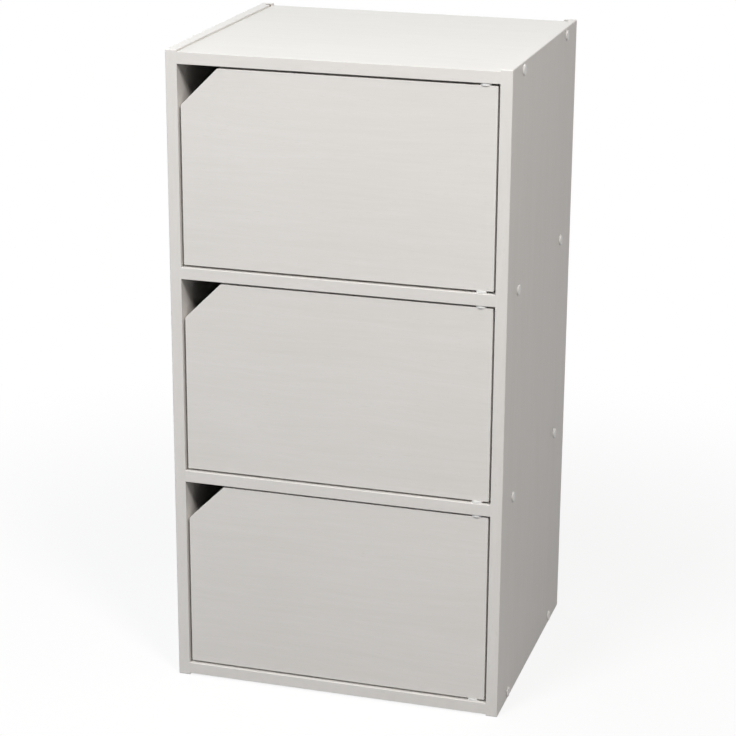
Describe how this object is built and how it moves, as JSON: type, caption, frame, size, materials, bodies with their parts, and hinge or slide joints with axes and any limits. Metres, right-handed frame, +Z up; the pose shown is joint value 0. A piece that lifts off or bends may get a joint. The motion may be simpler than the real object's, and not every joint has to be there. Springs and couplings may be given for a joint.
{
  "type": "bookcase with doors",
  "caption": "Narrow upright storage cabinet in off-white laminated board, with inset doors on plastic pivots, each with a cut corner as its finger grip.",
  "frame": {"origin": "on the floor, under the middle of the cabinet's box", "axes": "+Z up, the doors face -Y, +X to the right of someone facing the doors"},
  "size_m": [0.3486, 0.29, 0.664],
  "materials": {
    "side_laminate": "printed wood-grain paper",
    "board_laminate": "printed wood-grain paper",
    "door_laminate": "printed wood-grain paper",
    "back_hardboard": "raw hardboard behind, printed white in front",
    "white_plastic": "satin moulded",
    "zinc_steel": "zinc plated",
    "ferrite": "sintered",
    "beech": "turned beech"
  },
  "bodies": {
    "carcass": {"left_side_panel": "side_laminate", "right_side_panel": "side_laminate", "top_board": "board_laminate", "upper_shelf": "board_laminate", "lower_shelf": "board_laminate", "bottom_board": "board_laminate", "back_panel": "back_hardboard", "left_side_screws": "zinc_steel", "left_screw_caps": "white_plastic", "left_dowels": "beech", "right_side_screws": "zinc_steel", "right_screw_caps": "white_plastic", "right_dowels": "beech", "lower_catch_housing": "white_plastic", "lower_catch_magnet": "ferrite", "lower_catch_poles": "zinc_steel", "lower_catch_screws": "zinc_steel", "middle_catch_housing": "white_plastic", "middle_catch_magnet": "ferrite", "middle_catch_poles": "zinc_steel", "middle_catch_screws": "zinc_steel", "upper_catch_housing": "white_plastic", "upper_catch_magnet": "ferrite", "upper_catch_poles": "zinc_steel", "upper_catch_screws": "zinc_steel"},
    "lower_door": {"lower_door_panel": "door_laminate", "lower_door_top_pivot": "white_plastic", "lower_door_bottom_pivot": "white_plastic", "lower_strike_plate": "zinc_steel", "lower_strike_screw": "zinc_steel"},
    "middle_door": {"middle_door_panel": "door_laminate", "middle_door_top_pivot": "white_plastic", "middle_door_bottom_pivot": "white_plastic", "middle_strike_plate": "zinc_steel", "middle_strike_screw": "zinc_steel"},
    "upper_door": {"upper_door_panel": "door_laminate", "upper_door_top_pivot": "white_plastic", "upper_door_bottom_pivot": "white_plastic", "upper_strike_plate": "zinc_steel", "upper_strike_screw": "zinc_steel"}
  },
  "joints": [
    {"name": "lower_door_hinge", "type": "hinge", "parent": "carcass", "child": "lower_door", "pos_m": [0.14603, -0.137, 0.116], "axis": [0, 0, 1], "range_deg": [0, 120]},
    {"name": "middle_door_hinge", "type": "hinge", "parent": "carcass", "child": "middle_door", "pos_m": [0.14603, -0.137, 0.332], "axis": [0, 0, 1], "range_deg": [0, 120]},
    {"name": "upper_door_hinge", "type": "hinge", "parent": "carcass", "child": "upper_door", "pos_m": [0.14603, -0.137, 0.548], "axis": [0, 0, 1], "range_deg": [0, 120]}
  ]
}
